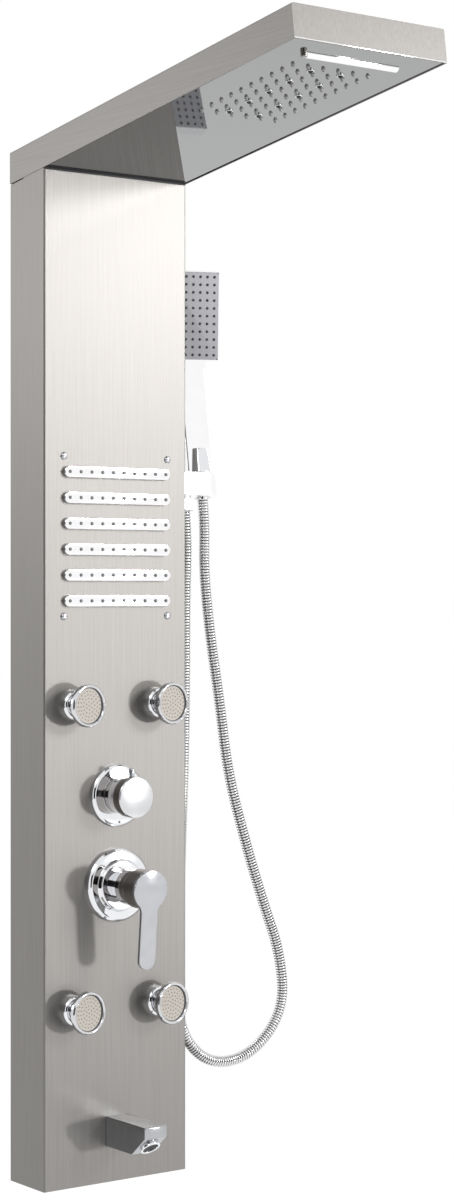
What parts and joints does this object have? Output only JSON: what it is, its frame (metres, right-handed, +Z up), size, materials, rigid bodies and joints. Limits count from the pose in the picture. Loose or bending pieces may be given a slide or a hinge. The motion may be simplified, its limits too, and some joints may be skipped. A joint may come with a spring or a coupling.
{
  "type": "shower panel column",
  "caption": "Wall-hung shower panel: folded steel column with tilted rain head and waterfall slot, spray strips, swivel body jets, mixer lever, function knob, spout and hand shower on a hose.",
  "frame": {"origin": "middle of the lower back edge of the column, on the wall plane", "axes": "+Z up along the column, +X to the right seen from the front, -Y out of the wall; the wall is the plane Y = 0"},
  "size_m": [0.3785, 0.545, 1.2814],
  "materials": {
    "brushed_sheet": "vertical brushed grain, satin",
    "polished_sheet": "mirror polished",
    "chrome": "bright chrome plate",
    "hose_metal": "ribbed, bright",
    "nozzle_rubber": "soft matte",
    "jet_cream": "smooth with fine nozzles",
    "face_grey": "smooth satin",
    "aerator_dark": "dark mesh in a ring",
    "brass": "as cast and turned",
    "pin_steel": "ground",
    "moulded_plastic": "moulded, plain",
    "pipe_metal": "drawn tube",
    "zinc_steel": "zinc plated, dull"
  },
  "bodies": {
    "root": {"column_cover": "brushed_sheet", "head_shell": "brushed_sheet", "head_underside": "polished_sheet", "waterfall_lip": "chrome", "spray_strips": "chrome", "manifold_screws": "chrome", "diverter_plate": "chrome", "mixer_plate": "chrome", "cartridge_cover": "chrome", "spout": "chrome", "hose_holder": "chrome", "hose_nut": "chrome", "power_nozzles": "chrome", "jet_base_1": "chrome", "jet_base_2": "chrome", "jet_base_3": "chrome", "jet_base_4": "chrome", "shower_hose": "hose_metal", "rain_nozzles": "nozzle_rubber", "strip_nozzles": "nozzle_rubber", "aerator": "aerator_dark", "mixer_body": "brass", "diverter_body": "brass", "lock_nuts": "brass", "spray_manifold": "moulded_plastic", "rain_chamber": "moulded_plastic", "waterfall_chamber": "moulded_plastic", "mixer_cartridge": "moulded_plastic", "rain_pipe": "pipe_metal", "waterfall_pipe": "pipe_metal", "spray_pipe": "pipe_metal", "jet_pipes": "pipe_metal", "spout_pipe": "pipe_metal", "outlet_pipe": "pipe_metal", "head_bracket": "zinc_steel", "bracket_nuts": "zinc_steel", "hanger_rails": "zinc_steel", "wall_brackets": "zinc_steel"},
    "knob": {"diverter_knob": "chrome", "diverter_stem": "brass"},
    "stem": {"temperature_stem": "brass", "spindle_pin": "pin_steel"},
    "lever": {"mixer_lever": "chrome", "lever_spindle": "brass"},
    "cone": {"hose_cone": "chrome"},
    "hand_shower": {"hand_shower_body": "chrome", "hand_shower_plate": "face_grey", "hand_shower_nozzles": "nozzle_rubber"},
    "jet_ball_1_body": {"jet_ball_1": "chrome"},
    "jet_head_1_body": {"jet_head_1": "chrome", "jet_face_1": "jet_cream"},
    "jet_ball_2_body": {"jet_ball_2": "chrome"},
    "jet_head_2_body": {"jet_head_2": "chrome", "jet_face_2": "jet_cream"},
    "jet_ball_3_body": {"jet_ball_3": "chrome"},
    "jet_head_3_body": {"jet_head_3": "chrome", "jet_face_3": "jet_cream"},
    "jet_ball_4_body": {"jet_ball_4": "chrome"},
    "jet_head_4_body": {"jet_head_4": "chrome", "jet_face_4": "jet_cream"}
  },
  "joints": [
    {"name": "jet_1_pan", "type": "hinge", "parent": "root", "child": "jet_ball_1_body", "pos_m": [-0.059, -0.079, 0.5605], "axis": [0, 0, 1], "range_deg": [-24, 6]},
    {"name": "jet_1_tilt", "type": "hinge", "parent": "jet_ball_1_body", "child": "jet_head_1_body", "pos_m": [-0.059, -0.079, 0.5605], "axis": [0.9877, 0.1564, 0], "range_deg": [-15, 15]},
    {"name": "jet_2_pan", "type": "hinge", "parent": "root", "child": "jet_ball_2_body", "pos_m": [0.059, -0.079, 0.5605], "axis": [0, 0, 1], "range_deg": [-24, 6]},
    {"name": "jet_2_tilt", "type": "hinge", "parent": "jet_ball_2_body", "child": "jet_head_2_body", "pos_m": [0.059, -0.079, 0.5605], "axis": [0.9877, 0.1564, 0], "range_deg": [-15, 15]},
    {"name": "jet_3_pan", "type": "hinge", "parent": "root", "child": "jet_ball_3_body", "pos_m": [-0.059, -0.079, 0.206], "axis": [0, 0, 1], "range_deg": [-24, 6]},
    {"name": "jet_3_tilt", "type": "hinge", "parent": "jet_ball_3_body", "child": "jet_head_3_body", "pos_m": [-0.059, -0.079, 0.206], "axis": [0.9877, 0.1564, 0], "range_deg": [-15, 15]},
    {"name": "jet_4_pan", "type": "hinge", "parent": "root", "child": "jet_ball_4_body", "pos_m": [0.059, -0.079, 0.206], "axis": [0, 0, 1], "range_deg": [-24, 6]},
    {"name": "jet_4_tilt", "type": "hinge", "parent": "jet_ball_4_body", "child": "jet_head_4_body", "pos_m": [0.059, -0.079, 0.206], "axis": [0.9877, 0.1564, 0], "range_deg": [-15, 15]},
    {"name": "knob_turn", "type": "hinge", "parent": "root", "child": "knob", "pos_m": [0, -0.074, 0.453], "axis": [0, -1, 0], "range_deg": [-144, 144]},
    {"name": "temperature_turn", "type": "hinge", "parent": "root", "child": "stem", "pos_m": [0, -0.074, 0.348], "axis": [0, -1, 0], "range_deg": [-50, 50]},
    {"name": "lever_lift", "type": "hinge", "parent": "stem", "child": "lever", "pos_m": [0, -0.109, 0.348], "axis": [-1, 0, 0], "range_deg": [0, 25]},
    {"name": "hose_lift", "type": "slide", "parent": "root", "child": "cone", "axis": [0, 0.1513, 0.9885], "range_m": [0, 0.032]},
    {"name": "hand_turn", "type": "hinge", "parent": "cone", "child": "hand_shower", "pos_m": [0.1495, -0.037, 0.821], "axis": [0, 0.1513, 0.9885], "range_deg": [-6, 25]}
  ]
}
